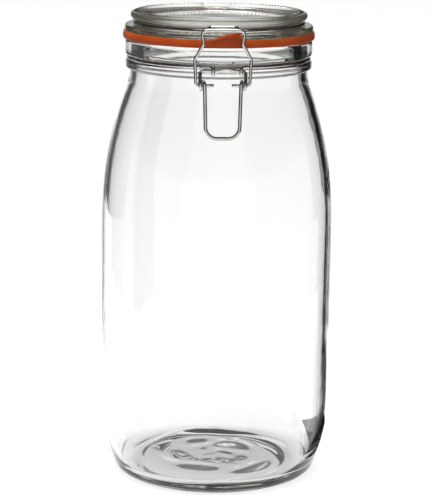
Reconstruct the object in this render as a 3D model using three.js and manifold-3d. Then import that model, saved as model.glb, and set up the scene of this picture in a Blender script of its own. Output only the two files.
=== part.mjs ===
// A clip-top storage jar: a glass jar, a pressed glass lid on a rubber seal, and the four bent steel
// wires that hinge the lid at the back and clamp it down at the front.
//
// Millimetres. The jar's axis is +Z and it stands on z = 0. The clamp is at the front, which is -Y,
// and +X is to the right of someone who faces the clamp.

import * as THREE from 'three';
import { mergeVertices } from 'three/addons/utils/BufferGeometryUtils.js';
import Module from 'manifold-3d';

// ---- Driving dimensions ---------------------------------------------------------------------------

// Fineness of the facets
const TURNED_SIDES = 40;
const OUTLINE_STEP = 12;
const WIRE_SIDES = 8;
const BEND_STEP = THREE.MathUtils.degToRad(24);
const RING_STEP = THREE.MathUtils.degToRad(9);

// Jar body
const BODY_RADIUS = 69.9;
const WALL = 4.0;
const STAND_RING_INNER = 45.5;
const STAND_RING_OUTER = 54.0;
const FOOT = { radius: 61.9, height: 4.6 };
const PUNT_RADIUS = 36;
const PUNT_HEIGHT = 2.5;
const FLOOR_RADIUS = 50;
const FLOOR_HEIGHT = 6.4;
const FLOOR_CROWN = 1.1;
const HEEL_TOP = 45;
const SHOULDER_BOTTOM = 150;
const SHOULDER_TOP = 240;
const SHOULDER_TOP_RADIUS = 54.3;
const NECK_RADIUS = 53.6;
const NECK_BEAD_RADIUS = 55.7;
const NECK_BEAD_BOTTOM = 248.2;
const NECK_BEAD_TOP = 253.4;
const MOUTH_RADIUS = 45.2;
const MOUTH_BOTTOM = 258;
const NECK_INNER_RADIUS = 49.7;
const RIM_RADIUS = 55.9;
const RIM_BOTTOM = 256.4;
const RIM_TOP = 266.3;
const RIM_LAND_INNER = 47;
const RIM_LAND_OUTER = 53.8;

// Lid
const LID_UNDERSIDE = 270.3;
const LID_TOP = 282.6;
const FLANGE_RADIUS = 56.3;
const FLANGE_TOP = 274.5;
const LID_BEAD_RADIUS = 52.7;
const LID_BEAD_BOTTOM = 277.6;
const LID_CREST_OUTER = 50.9;
const LID_CREST_INNER = 48.9;
const DISH_RADIUS = 43.4;
const DISH_HEIGHT = 278.4;
const PLUG_RADIUS = 43.3;
const PLUG_BOTTOM = 262.4;
const HOLLOW_RADIUS = 37.6;
const HOLLOW_TOP = 272.8;

// Seal
const SEAL_INNER = 44.9;
const SEAL_OUTER = 57.2;
const SEAL_BOTTOM = 266.6;
const SEAL_TOP = 270.0;
const SEAL_LIP_RADIUS = 56.9;
const TAB_LEFT = -7;
const TAB_RIGHT = 11;
const TAB_BOTTOM = 266.4;
const TAB_TOP_LEFT = 270.9;
const TAB_TOP_RIGHT = 275;
const TAB_FRONT = -59.7;
const TAB_BACK = -57.1;

// Wires: the lever, lid and neck wires are of one gauge, the bail is thinner
const WIRE_RADIUS = 1.1;
const BAIL_WIRE_RADIUS = 0.95;

// Neck wire, and the two hooks and the hinge bar that it is bent into
const NECK_GROOVE_RADIUS = 52.6;
const NECK_WIRE_RADIUS = 54.1;
const NECK_WIRE_HEIGHT = 254.9;
const HOOK_LEFT = -5.6;
const HOOK_RIGHT = 10.4;
const HOOK_TIP_HEIGHT = 250.8;
const HINGE_BACK = 60.6;
const HINGE_HEIGHT = 266;
const HINGE_HALF_WIDTH = 13;

// Lid wire, its front catch and its hinge eyes
const LID_GROOVE_RADIUS = 49.2;
const LID_WIRE_RADIUS = 50.7;
const LID_WIRE_HEIGHT = 276;
const CATCH_FRONT = -60.2;
const CATCH_HEIGHT = 278.3;
const CATCH_HALF_WIDTH = 8.1;
const HINGE_EYE_OFFSET = 8.5;

// Round each pivot bar, the wire that hooks over it is bent to this radius, measured at its centre line
const HOOK_RADIUS = 2.6;

// Lever: the line that it turns on, the eyes that carry the bail, and its finger bar
const LEVER_PIVOT = { y: -58.7, z: 253.4 };
const EYE = { y: -60.4, z: 245.4 };
const EYE_RADIUS = 2.25;
const EYE_PITCH = 2.5;
const LEVER_TOP_HALF_WIDTH = 13;
const LEVER_BOTTOM_HALF_WIDTH = 9.6;
const LEVER_BOTTOM = { y: -65.4, z: 215.6 };
const LEVER_ARCH = 1.0;

// Bail: half-widths and places of its crossbar, waist and flare, and where its stubs end
const BAIL_TOP = { x: 12.4, y: -62.3, z: 276.8 };
const BAIL_WAIST = { x: 11.1, y: -61.7, z: 269.4 };
const BAIL_FLARE = { x: 16.1, y: -61.2, z: 260.2 };
const BAIL_FOOT_HALF_WIDTH = 15.3;
const BAIL_STUB_END = 5.1;

// ---- Materials ------------------------------------------------------------------------------------

function glass(name, color) {
  return new THREE.MeshStandardMaterial({ name, color, roughness: 0.05, metalness: 0 });
}

function steel(name) {
  return new THREE.MeshStandardMaterial({ name, color: 0xc9cac6, roughness: 0.25, metalness: 1 });
}

const jarGlass = glass('jar_glass', 0xe3e8e4);
const lidGlass = glass('lid_glass', 0xc9d3c6);
const sealRubber = new THREE.MeshStandardMaterial({
  name: 'seal_rubber', color: 0xb4481c, roughness: 0.55, metalness: 0,
});

// ---- Turned pieces --------------------------------------------------------------------------------

// A closed solid turned round the Z axis from an outline of radius and height.
function turned(outline) {
  const geometry = new THREE.LatheGeometry(outline, TURNED_SIDES);
  geometry.rotateX(Math.PI / 2);
  return geometry;
}

// The points of an outline: a straight is one step, and a curve has more of them the longer it is.
function outlinePoints(path) {
  const points = [];
  path.curves.forEach((curve, index) => {
    const steps = curve.isLineCurve ? 1 : Math.max(3, Math.round(curve.getLength() / OUTLINE_STEP));
    const stretch = curve.getPoints(steps);
    points.push(...(index === 0 ? stretch : stretch.slice(1)));
  });
  return points;
}

// The jar's outside from under its base to the rim, then its inside back down to the floor.
function jarGeometry() {
  const inside = BODY_RADIUS - WALL;
  const path = new THREE.Path();
  path.moveTo(0, PUNT_HEIGHT);
  path.lineTo(PUNT_RADIUS, PUNT_HEIGHT - 0.1);
  path.quadraticCurveTo(STAND_RING_INNER - 3, PUNT_HEIGHT - 0.2, STAND_RING_INNER, 0);
  path.lineTo(STAND_RING_OUTER, 0);
  path.quadraticCurveTo(60, 0, FOOT.radius, FOOT.height);
  path.bezierCurveTo(63.4, 10, BODY_RADIUS, 24, BODY_RADIUS, HEEL_TOP);
  path.lineTo(BODY_RADIUS, SHOULDER_BOTTOM);
  path.bezierCurveTo(BODY_RADIUS, 190, 64.2, 212, SHOULDER_TOP_RADIUS, SHOULDER_TOP);
  path.quadraticCurveTo(NECK_RADIUS, SHOULDER_TOP + 2.2, NECK_RADIUS, SHOULDER_TOP + 5);
  path.lineTo(NECK_RADIUS, NECK_BEAD_BOTTOM);

  // Neck bead, the groove that holds the neck wire, and the rim
  path.quadraticCurveTo(NECK_BEAD_RADIUS, NECK_BEAD_BOTTOM + 0.1, NECK_BEAD_RADIUS, NECK_BEAD_BOTTOM + 2);
  path.lineTo(NECK_BEAD_RADIUS, NECK_BEAD_TOP - 1.4);
  path.quadraticCurveTo(NECK_BEAD_RADIUS, NECK_BEAD_TOP, NECK_BEAD_RADIUS - 1.1, NECK_BEAD_TOP);
  path.lineTo(NECK_GROOVE_RADIUS, NECK_BEAD_TOP + 0.2);
  path.lineTo(NECK_GROOVE_RADIUS, RIM_BOTTOM - 0.2);
  path.lineTo(RIM_RADIUS - 1.3, RIM_BOTTOM);
  path.quadraticCurveTo(RIM_RADIUS, RIM_BOTTOM, RIM_RADIUS, RIM_BOTTOM + 1.8);
  path.lineTo(RIM_RADIUS, RIM_TOP - 2.5);
  path.quadraticCurveTo(RIM_RADIUS, RIM_TOP, RIM_LAND_OUTER, RIM_TOP);
  path.lineTo(RIM_LAND_INNER, RIM_TOP);

  // Mouth and inside
  path.quadraticCurveTo(MOUTH_RADIUS, RIM_TOP, MOUTH_RADIUS, RIM_TOP - 1.8);
  path.lineTo(MOUTH_RADIUS, MOUTH_BOTTOM);
  path.bezierCurveTo(MOUTH_RADIUS, MOUTH_BOTTOM - 4, NECK_INNER_RADIUS, 254, NECK_INNER_RADIUS, 250);
  path.lineTo(NECK_INNER_RADIUS, SHOULDER_TOP + 5);
  path.quadraticCurveTo(NECK_INNER_RADIUS, SHOULDER_TOP + 2, 50.5, SHOULDER_TOP - 1.3);
  path.bezierCurveTo(60.3, 211, inside, 190, inside, SHOULDER_BOTTOM);
  path.lineTo(inside, HEEL_TOP);
  path.bezierCurveTo(inside, 27, 60.5, 12.5, 58, 8.4);
  path.quadraticCurveTo(55.5, FLOOR_HEIGHT, FLOOR_RADIUS, FLOOR_HEIGHT);
  path.quadraticCurveTo(25, FLOOR_HEIGHT, 0, FLOOR_HEIGHT + FLOOR_CROWN);
  return turned(outlinePoints(path));
}

// The lid from its hollow underside, round the plug, the flange and the wire groove, to its dished top.
function lidGeometry() {
  const path = new THREE.Path();
  path.moveTo(0, HOLLOW_TOP);
  path.lineTo(33, HOLLOW_TOP - 0.2);
  path.quadraticCurveTo(37, HOLLOW_TOP - 0.4, HOLLOW_RADIUS, 268.5);
  path.lineTo(HOLLOW_RADIUS + 1, PLUG_BOTTOM + 1.4);
  path.quadraticCurveTo(HOLLOW_RADIUS + 1.4, PLUG_BOTTOM, HOLLOW_RADIUS + 2.7, PLUG_BOTTOM);
  path.lineTo(PLUG_RADIUS - 1.4, PLUG_BOTTOM);
  path.quadraticCurveTo(PLUG_RADIUS, PLUG_BOTTOM, PLUG_RADIUS, PLUG_BOTTOM + 1.4);
  path.lineTo(PLUG_RADIUS, LID_UNDERSIDE - 0.8);
  path.quadraticCurveTo(PLUG_RADIUS, LID_UNDERSIDE, PLUG_RADIUS + 0.9, LID_UNDERSIDE);
  path.lineTo(FLANGE_RADIUS - 1.5, LID_UNDERSIDE);
  path.quadraticCurveTo(FLANGE_RADIUS, LID_UNDERSIDE, FLANGE_RADIUS, LID_UNDERSIDE + 1.6);
  path.lineTo(FLANGE_RADIUS, FLANGE_TOP - 1.3);
  path.quadraticCurveTo(FLANGE_RADIUS, FLANGE_TOP, FLANGE_RADIUS - 1.4, FLANGE_TOP);
  path.lineTo(LID_GROOVE_RADIUS + 1, FLANGE_TOP);
  path.quadraticCurveTo(LID_GROOVE_RADIUS, FLANGE_TOP, LID_GROOVE_RADIUS, FLANGE_TOP + 1.1);
  path.lineTo(LID_GROOVE_RADIUS, LID_BEAD_BOTTOM - 1);
  path.quadraticCurveTo(LID_GROOVE_RADIUS, LID_BEAD_BOTTOM, LID_GROOVE_RADIUS + 1, LID_BEAD_BOTTOM);
  path.quadraticCurveTo(LID_BEAD_RADIUS, LID_BEAD_BOTTOM + 0.2, LID_BEAD_RADIUS, LID_TOP - 2.7);
  path.quadraticCurveTo(LID_BEAD_RADIUS, LID_TOP, LID_CREST_OUTER, LID_TOP);
  path.lineTo(LID_CREST_INNER, LID_TOP);
  path.bezierCurveTo(46.9, LID_TOP, 46.6, DISH_HEIGHT + 0.5, DISH_RADIUS, DISH_HEIGHT + 0.4);
  path.lineTo(0, DISH_HEIGHT);
  return turned(outlinePoints(path));
}

// ---- Rubber seal ----------------------------------------------------------------------------------

function extrudedAlongY(shape, front, back) {
  const depth = back - front;
  const geometry = new THREE.ExtrudeGeometry(shape, { depth, bevelEnabled: false, curveSegments: 3 });
  geometry.rotateX(Math.PI / 2);
  geometry.translate(0, back, 0);
  return geometry;
}

function rectangle(left, right, bottom, top) {
  const shape = new THREE.Shape();
  shape.moveTo(left, bottom);
  shape.lineTo(right, bottom);
  shape.lineTo(right, top);
  shape.lineTo(left, top);
  return shape;
}

// The pull tab stands up in front of the lid's flange and rises to the right.
function tabShape() {
  const shape = new THREE.Shape();
  shape.moveTo(TAB_LEFT, TAB_BOTTOM);
  shape.lineTo(TAB_RIGHT - 1.5, TAB_BOTTOM);
  shape.quadraticCurveTo(TAB_RIGHT, TAB_BOTTOM, TAB_RIGHT, TAB_BOTTOM + 1.6);
  shape.lineTo(TAB_RIGHT, TAB_TOP_RIGHT - 2.1);
  shape.quadraticCurveTo(TAB_RIGHT, TAB_TOP_RIGHT, TAB_RIGHT - 2, TAB_TOP_RIGHT);
  shape.bezierCurveTo(3, TAB_TOP_RIGHT, -1.5, TAB_TOP_LEFT + 2.7, TAB_LEFT, TAB_TOP_LEFT);
  return shape;
}

// A flat ring whose outer edge stands proud of the rim and the lid as a rounded lip.
function sealRing() {
  const outline = [
    [SEAL_INNER, SEAL_BOTTOM],
    [54.3, SEAL_BOTTOM],
    [56.1, SEAL_BOTTOM - 0.6],
    [SEAL_LIP_RADIUS, SEAL_BOTTOM - 0.3],
    [SEAL_OUTER, SEAL_BOTTOM + 0.8],
    [SEAL_OUTER, SEAL_TOP - 0.4],
    [SEAL_LIP_RADIUS, SEAL_TOP + 0.7],
    [56.4, SEAL_TOP + 0.9],
    [55.5, SEAL_TOP + 0.1],
    [SEAL_INNER, SEAL_TOP],
    [SEAL_INNER, SEAL_BOTTOM],
  ];
  return turned(outline.map(([radius, height]) => new THREE.Vector2(radius, height)));
}

// ---- Joining solids -------------------------------------------------------------------------------

const wasm = await Module();
wasm.setup();

function solid(geometry) {
  const bare = geometry.clone();
  bare.deleteAttribute('normal');
  bare.deleteAttribute('uv');
  const merged = mergeVertices(bare, 1e-4);
  const vertProperties = new Float32Array(merged.attributes.position.array);
  const triVerts = new Uint32Array(merged.index.array);
  return new wasm.Manifold(new wasm.Mesh({ numProp: 3, vertProperties, triVerts }));
}

function geometryOf(manifold) {
  const mesh = manifold.getMesh();
  const geometry = new THREE.BufferGeometry();
  geometry.setAttribute('position', new THREE.BufferAttribute(mesh.vertProperties, 3));
  geometry.setIndex(new THREE.BufferAttribute(mesh.triVerts, 1));
  geometry.computeVertexNormals();
  return geometry;
}

// The ring with its tab: a root that grows out of the ring's edge, and the tongue that stands on it.
function sealGeometry() {
  const rootShape = rectangle(TAB_LEFT, TAB_RIGHT, TAB_BOTTOM + 0.3, SEAL_TOP + 0.2);
  const tongue = extrudedAlongY(tabShape(), TAB_FRONT, TAB_BACK);
  const root = extrudedAlongY(rootShape, TAB_FRONT + 0.4, TAB_BACK + 1.9);
  return geometryOf(solid(sealRing()).add(solid(tongue)).add(solid(root)));
}

// ---- Bent wires -----------------------------------------------------------------------------------

// A wire's centre line that visits its stations one by one, so that a tube along it has one section at
// each of them: close together round the bends and far apart on the straights.
class WireLine extends THREE.Curve {
  constructor(stations) {
    super();
    this.stations = stations;
  }

  getPointAt(u) {
    return this.stations[Math.round(u * (this.stations.length - 1))].clone();
  }

  getTangentAt(u) {
    const last = this.stations.length - 1;
    const index = Math.round(u * last);
    const tangent = new THREE.Vector3();
    if (index > 0) tangent.add(direction(this.stations[index - 1], this.stations[index]));
    if (index < last) tangent.add(direction(this.stations[index], this.stations[index + 1]));
    return tangent.normalize();
  }
}

function direction(from, to) {
  return to.clone().sub(from).normalize();
}

// Stations along a line of corners. A corner is a point, with the radius that the wire is bent to there;
// a corner with no radius is kept as it is.
function bent(corners) {
  const stations = [];
  corners.forEach(({ point, radius }, index) => {
    if (!radius) {
      stations.push(point);
      return;
    }
    const back = direction(point, corners[index - 1].point);
    const ahead = direction(point, corners[index + 1].point);
    const turn = Math.PI - back.angleTo(ahead);
    const setback = radius * Math.tan(turn / 2);
    const toCentre = back.clone().add(ahead).normalize().multiplyScalar(radius / Math.cos(turn / 2));
    const centre = point.clone().add(toCentre);
    const first = point.clone().addScaledVector(back, setback).sub(centre);
    const final = point.clone().addScaledVector(ahead, setback).sub(centre);
    const steps = Math.max(2, Math.ceil(turn / BEND_STEP));
    for (let step = 0; step <= steps; step += 1) {
      const share = step / steps;
      const station = centre.clone();
      station.addScaledVector(first, Math.sin((1 - share) * turn) / Math.sin(turn));
      station.addScaledVector(final, Math.sin(share * turn) / Math.sin(turn));
      stations.push(station);
    }
  });
  return stations;
}

function corner(x, y, z, radius = 0) {
  return { point: new THREE.Vector3(x, y, z), radius };
}

function mirrored(corners) {
  const flipped = corners.map(({ point, radius }) => corner(-point.x, point.y, point.z, radius));
  return flipped.reverse();
}

// Corners on a level ring round the jar's axis, between two angles from the front towards +X.
function ringCorners(radius, height, fromAngle, toAngle) {
  const steps = Math.round(Math.abs(toAngle - fromAngle) / RING_STEP);
  const corners = [];
  for (let step = 1; step < steps; step += 1) {
    const angle = fromAngle + (toAngle - fromAngle) * step / steps;
    corners.push(corner(radius * Math.sin(angle), -radius * Math.cos(angle), height));
  }
  return corners;
}

function wire(corners, radius) {
  const section = new THREE.Shape();
  for (let side = 0; side < WIRE_SIDES; side += 1) {
    const angle = 2 * Math.PI * side / WIRE_SIDES;
    const place = [radius * Math.cos(angle), radius * Math.sin(angle)];
    if (side === 0) section.moveTo(...place);
    else section.lineTo(...place);
  }
  const stations = bent(corners);
  return new THREE.ExtrudeGeometry(section, {
    steps: stations.length - 1,
    extrudePath: new WireLine(stations),
    bevelEnabled: false,
  });
}

// A hook over the lever's top bar, from its tip in front of the bar to the neck's groove.
function neckHook(x) {
  const overHeight = LEVER_PIVOT.z + HOOK_RADIUS;
  const hookFront = LEVER_PIVOT.y - HOOK_RADIUS;
  return [
    corner(x, hookFront, HOOK_TIP_HEIGHT),
    corner(x, hookFront, overHeight, HOOK_RADIUS),
    corner(x, -57.4, overHeight, 2),
    corner(x, -Math.sqrt(NECK_WIRE_RADIUS ** 2 - x ** 2), NECK_WIRE_HEIGHT, 2),
  ];
}

// The neck wire runs from one front hook round the neck to the other, and stands off at the back as
// the bar that the lid hinges on.
function neckWireGeometry() {
  const backAngle = Math.PI - Math.asin(HINGE_HALF_WIDTH / NECK_WIRE_RADIUS);
  const backOfRing = -NECK_WIRE_RADIUS * Math.cos(backAngle);
  const halfBracket = [
    corner(HINGE_HALF_WIDTH, backOfRing, NECK_WIRE_HEIGHT, 2.5),
    corner(HINGE_HALF_WIDTH, HINGE_BACK, NECK_WIRE_HEIGHT, 2.5),
    corner(HINGE_HALF_WIDTH, HINGE_BACK, HINGE_HEIGHT, 2.5),
  ];
  const side = (x) => {
    const frontAngle = Math.asin(Math.abs(x) / NECK_WIRE_RADIUS);
    return [
      ...neckHook(Math.abs(x)),
      ...ringCorners(NECK_WIRE_RADIUS, NECK_WIRE_HEIGHT, frontAngle, backAngle),
      ...halfBracket,
    ];
  };
  return wire([...side(HOOK_RIGHT), ...mirrored(side(HOOK_LEFT))], WIRE_RADIUS);
}

// Half of the lid wire: an eye round the hinge bar, over the flange to the groove, round the lid, and
// forward to the catch.
function lidWireHalf() {
  const corners = [];
  const eyeSteps = 9;
  for (let step = 0; step < eyeSteps; step += 1) {
    const angle = THREE.MathUtils.degToRad(-220) * (1 - step / eyeSteps);
    const y = HINGE_BACK + HOOK_RADIUS * Math.cos(angle);
    const z = HINGE_HEIGHT + HOOK_RADIUS * Math.sin(angle);
    corners.push(corner(HINGE_EYE_OFFSET, y, z));
  }
  const backAngle = Math.PI - Math.asin(HINGE_EYE_OFFSET / LID_WIRE_RADIUS);
  const frontAngle = Math.asin(CATCH_HALF_WIDTH / LID_WIRE_RADIUS);
  corners.push(
    corner(HINGE_EYE_OFFSET, HINGE_BACK + HOOK_RADIUS, HINGE_HEIGHT),
    corner(HINGE_EYE_OFFSET, HINGE_BACK + HOOK_RADIUS, LID_WIRE_HEIGHT, 2.6),
    corner(HINGE_EYE_OFFSET, -LID_WIRE_RADIUS * Math.cos(backAngle), LID_WIRE_HEIGHT, 2.5),
    ...ringCorners(LID_WIRE_RADIUS, LID_WIRE_HEIGHT, backAngle, frontAngle),
    corner(CATCH_HALF_WIDTH, -LID_WIRE_RADIUS * Math.cos(frontAngle), LID_WIRE_HEIGHT, 2.5),
    corner(CATCH_HALF_WIDTH, CATCH_FRONT, CATCH_HEIGHT, 2.2),
  );
  return corners;
}

function lidWireGeometry() {
  const half = lidWireHalf();
  return wire([...half, ...mirrored(half)], WIRE_RADIUS);
}

// One side of the lever, from the middle of its finger bar up to its top bar. Where the bail is
// carried, the wire makes one turn round the bail's stub and steps outwards by the pitch of that turn.
function leverSide() {
  const toPivot = new THREE.Vector2(LEVER_PIVOT.y - EYE.y, LEVER_PIVOT.z - EYE.z);
  const lean = Math.atan2(toPivot.x, toPivot.y);
  const topAngle = Math.PI / 2 - (Math.acos(EYE_RADIUS / toPivot.length()) - lean);
  const lowerLean = Math.atan2(EYE.y - EYE_RADIUS - LEVER_BOTTOM.y, EYE.z - LEVER_BOTTOM.z);
  const turnStart = 2 * Math.PI - lowerLean;
  const turnLength = turnStart + topAngle;
  const steps = 16;
  const corners = [
    corner(0.2, LEVER_BOTTOM.y, LEVER_BOTTOM.z),
    corner(LEVER_BOTTOM_HALF_WIDTH, LEVER_BOTTOM.y, LEVER_BOTTOM.z, 6.5),
  ];
  for (let step = 0; step <= steps; step += 1) {
    const share = step / steps;
    const angle = turnStart - turnLength * share;
    const x = LEVER_TOP_HALF_WIDTH - EYE_PITCH * turnLength * (1 - share) / (2 * Math.PI);
    corners.push(corner(x, EYE.y - EYE_RADIUS * Math.cos(angle), EYE.z - EYE_RADIUS * Math.sin(angle)));
  }
  corners.push(corner(LEVER_TOP_HALF_WIDTH, LEVER_PIVOT.y, LEVER_PIVOT.z, 2));
  return corners;
}

// The lever's top bar is arched a little between the two neck hooks.
function leverGeometry() {
  const middle = (HOOK_LEFT + HOOK_RIGHT) / 2;
  const halfArch = (HOOK_RIGHT - HOOK_LEFT) / 2 - 2;
  const arch = [1, 0.5, 0, -0.5, -1].map((share) => {
    const rise = LEVER_ARCH * Math.cos(share * Math.PI / 2) ** 2;
    return corner(middle + share * halfArch, LEVER_PIVOT.y, LEVER_PIVOT.z + rise);
  });
  const side = leverSide();
  return wire([...side, ...arch, ...mirrored(side)], WIRE_RADIUS);
}

function bailGeometry() {
  const side = [
    corner(BAIL_STUB_END, EYE.y, EYE.z),
    corner(BAIL_FOOT_HALF_WIDTH, EYE.y, EYE.z, 1.6),
    corner(BAIL_FLARE.x, BAIL_FLARE.y, BAIL_FLARE.z, 3),
    corner(BAIL_WAIST.x, BAIL_WAIST.y, BAIL_WAIST.z, 3),
    corner(BAIL_TOP.x, BAIL_TOP.y, BAIL_TOP.z, 2.4),
  ];
  return wire([...side, ...mirrored(side)], BAIL_WIRE_RADIUS);
}

// ---- The assembly ---------------------------------------------------------------------------------

function piece(name, geometry, material) {
  const mesh = new THREE.Mesh(geometry, material);
  mesh.name = name;
  return mesh;
}

const canister = new THREE.Group();
canister.add(
  piece('jar_body', jarGeometry(), jarGlass),
  piece('neck_wire', neckWireGeometry(), steel('neck_wire_steel')),
  piece('lid', lidGeometry(), lidGlass),
  piece('seal', sealGeometry(), sealRubber),
  piece('lid_wire', lidWireGeometry(), steel('lid_wire_steel')),
  piece('lever', leverGeometry(), steel('lever_steel')),
  piece('bail', bailGeometry(), steel('bail_steel')),
);

export default canister;
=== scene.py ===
"""A clip-top storage jar: its glass, rubber and steel surfaces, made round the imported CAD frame.

Metres, in the CAD model's own frame: the jar's axis is +Z, it stands on z = 0, and its clamp
faces -Y.
"""

import math

import bpy
from mathutils import Matrix, Vector


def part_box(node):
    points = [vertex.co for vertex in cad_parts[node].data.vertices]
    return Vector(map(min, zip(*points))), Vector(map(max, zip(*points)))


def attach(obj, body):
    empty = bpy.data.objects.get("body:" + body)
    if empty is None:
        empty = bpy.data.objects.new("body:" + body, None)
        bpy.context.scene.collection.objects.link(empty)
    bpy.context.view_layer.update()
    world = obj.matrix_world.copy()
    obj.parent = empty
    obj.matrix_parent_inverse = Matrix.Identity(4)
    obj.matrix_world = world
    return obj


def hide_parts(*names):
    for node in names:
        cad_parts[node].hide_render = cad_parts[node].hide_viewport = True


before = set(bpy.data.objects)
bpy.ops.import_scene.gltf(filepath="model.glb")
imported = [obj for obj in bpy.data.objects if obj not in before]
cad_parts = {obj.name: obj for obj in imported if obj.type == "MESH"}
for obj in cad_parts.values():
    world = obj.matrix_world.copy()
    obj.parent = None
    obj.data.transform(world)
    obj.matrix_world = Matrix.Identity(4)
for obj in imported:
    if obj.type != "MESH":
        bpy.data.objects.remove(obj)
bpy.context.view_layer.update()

MM = 0.001
TAU = 2 * math.pi


# ---- Sizes, from the frame and from the same driving dimensions as the CAD model ----------------

def high(node):
    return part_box(node)[1]


# Jar body
BODY_RADIUS = high("jar_body").x
WALL = 4.0 * MM
INSIDE_RADIUS = BODY_RADIUS - WALL
PUNT_RADIUS = 36 * MM
PUNT_HEIGHT = 2.5 * MM
PUNT_EDGE_HEIGHT = 2.4 * MM
PUNT_POLE = (42.5 * MM, 2.3 * MM)
STAND_RING_INNER = 45.5 * MM
STAND_RING_OUTER = 54.0 * MM
FOOT_POLE = (60 * MM, 0)
FOOT_RADIUS = 61.9 * MM
FOOT_HEIGHT = 4.6 * MM
HEEL_POLES = (63.4 * MM, 10 * MM), (BODY_RADIUS, 24 * MM)
HEEL_TOP = 45 * MM
SHOULDER_BOTTOM = 150 * MM
SHOULDER_POLES = (BODY_RADIUS, 190 * MM), (64.2 * MM, 212 * MM)
SHOULDER_TOP = 240 * MM
SHOULDER_TOP_RADIUS = 54.3 * MM
NECK_POLE_HEIGHT = SHOULDER_TOP + 2.2 * MM
NECK_BOTTOM = SHOULDER_TOP + 5 * MM
NECK_RADIUS = 53.6 * MM
NECK_BEAD_RADIUS = 55.7 * MM
NECK_BEAD_BOTTOM = 248.2 * MM
NECK_BEAD_POLE_HEIGHT = NECK_BEAD_BOTTOM + 0.1 * MM
NECK_BEAD_FOOT = NECK_BEAD_BOTTOM + 2 * MM
NECK_BEAD_TOP = 253.4 * MM
NECK_BEAD_ROUNDING = (1.1 * MM, 1.4 * MM)
NECK_GROOVE_RADIUS = 52.6 * MM
NECK_GROOVE_DRAFT = 0.2 * MM
RIM_RADIUS = 55.9 * MM
RIM_BOTTOM = 256.4 * MM
RIM_TOP = high("jar_body").z
RIM_LOWER_ROUNDING = (1.3 * MM, 1.8 * MM)
RIM_UPPER_ROUNDING = 2.5 * MM
RIM_LAND_INNER = 47 * MM
RIM_LAND_OUTER = 53.8 * MM
MOUTH_RADIUS = 45.2 * MM
MOUTH_ROUNDING = 1.8 * MM
MOUTH_BOTTOM = 258 * MM
NECK_INNER_RADIUS = 49.7 * MM
NECK_INNER_TOP = 250 * MM
NECK_INNER_POLES = (MOUTH_RADIUS, 254 * MM), (NECK_INNER_RADIUS, 254 * MM)
INNER_SHOULDER_TOP = (50.5 * MM, 238.7 * MM)
INNER_SHOULDER_TOP_POLE = (NECK_INNER_RADIUS, SHOULDER_TOP + 2 * MM)
INNER_SHOULDER_POLES = (60.3 * MM, 211 * MM), (INSIDE_RADIUS, 190 * MM)
INNER_HEEL_POLES = (INSIDE_RADIUS, 27 * MM), (60.5 * MM, 12.5 * MM)
INNER_HEEL_FOOT = (58 * MM, 8.4 * MM)
FLOOR_HEIGHT = 6.4 * MM
FLOOR_RADIUS = 50 * MM
FLOOR_EDGE_POLE = (55.5 * MM, FLOOR_HEIGHT)
FLOOR_POLE = (25 * MM, FLOOR_HEIGHT)
FLOOR_CROWN = 1.1 * MM

# The unevenness inside the jar: each wave has its (turns round, radians per metre up, phase)
WALL_UNEVENNESS = 0.28 * MM
WALL_WAVES = [(3, 21, 0.4), (5, -34, 2.1), (2, 12, 4.0), (7, 16, 1.2)]
WALL_FADE = 30 * MM
FLOOR_UNEVENNESS = 1.5 * MM
FLOOR_WAVES = [(1, 260, 0.3), (2, -310, 1.1), (3, 400, 2.6), (4, 180, 5.0)]
FLOOR_FADE = 20 * MM

# Lid
HOLLOW_TOP = 272.8 * MM
HOLLOW_FLAT_EDGE = (33 * MM, 272.6 * MM)
HOLLOW_POLE = (37 * MM, 272.4 * MM)
HOLLOW_RADIUS = 37.6 * MM
HOLLOW_SIDE_TOP = 268.5 * MM
PLUG_BOTTOM = 262.4 * MM
PLUG_RADIUS = 43.3 * MM
PLUG_ROUNDING = 1.4 * MM
PLUG_INNER_EDGE = 38.6 * MM
PLUG_INNER_POLE = 39.0 * MM
PLUG_BOTTOM_INNER = 40.3 * MM
LID_UNDERSIDE = 270.3 * MM
UNDERSIDE_FILLET = (0.9 * MM, 0.8 * MM)
FLANGE_RADIUS = high("lid").x
FLANGE_TOP = 274.5 * MM
FLANGE_LOWER_ROUNDING = (1.5 * MM, 1.6 * MM)
FLANGE_UPPER_ROUNDING = (1.4 * MM, 1.3 * MM)
LID_GROOVE_RADIUS = 49.2 * MM
LID_GROOVE_FILLET = (1 * MM, 1.1 * MM)
LID_BEAD_BOTTOM = 277.6 * MM
LID_BEAD_RADIUS = 52.7 * MM
LID_BEAD_FILLET = 1 * MM
LID_BEAD_POLE_RISE = 0.2 * MM
LID_BEAD_SHOULDER = 2.7 * MM
LID_TOP = high("lid").z
LID_CREST_OUTER = 50.9 * MM
LID_CREST_INNER = 48.9 * MM
DISH_RADIUS = 43.4 * MM
DISH_HEIGHT = 278.4 * MM
DISH_EDGE_HEIGHT = DISH_HEIGHT + 0.4 * MM
DISH_POLES = (46.9 * MM, LID_TOP), (46.6 * MM, DISH_HEIGHT + 0.5 * MM)

# The notches round the lid's crest, and the ribs below them
KNURL_TEETH = 120
KNURL_SIDES_PER_TOOTH = 4
KNURL_DEPTH = 0.9 * MM
CREST_SLOPE = 0.8 * MM
RIB_DEPTH = 0.3 * MM
RIB_FOOT = DISH_HEIGHT + 2 * MM
KNURL_RADIUS = 49.0 * MM
KNURL_HALF_WIDTH = 0.7 * MM
KNURL_ZONE = 2 * MM
MATT_WALL_ZONE = 0.5 * MM

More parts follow.
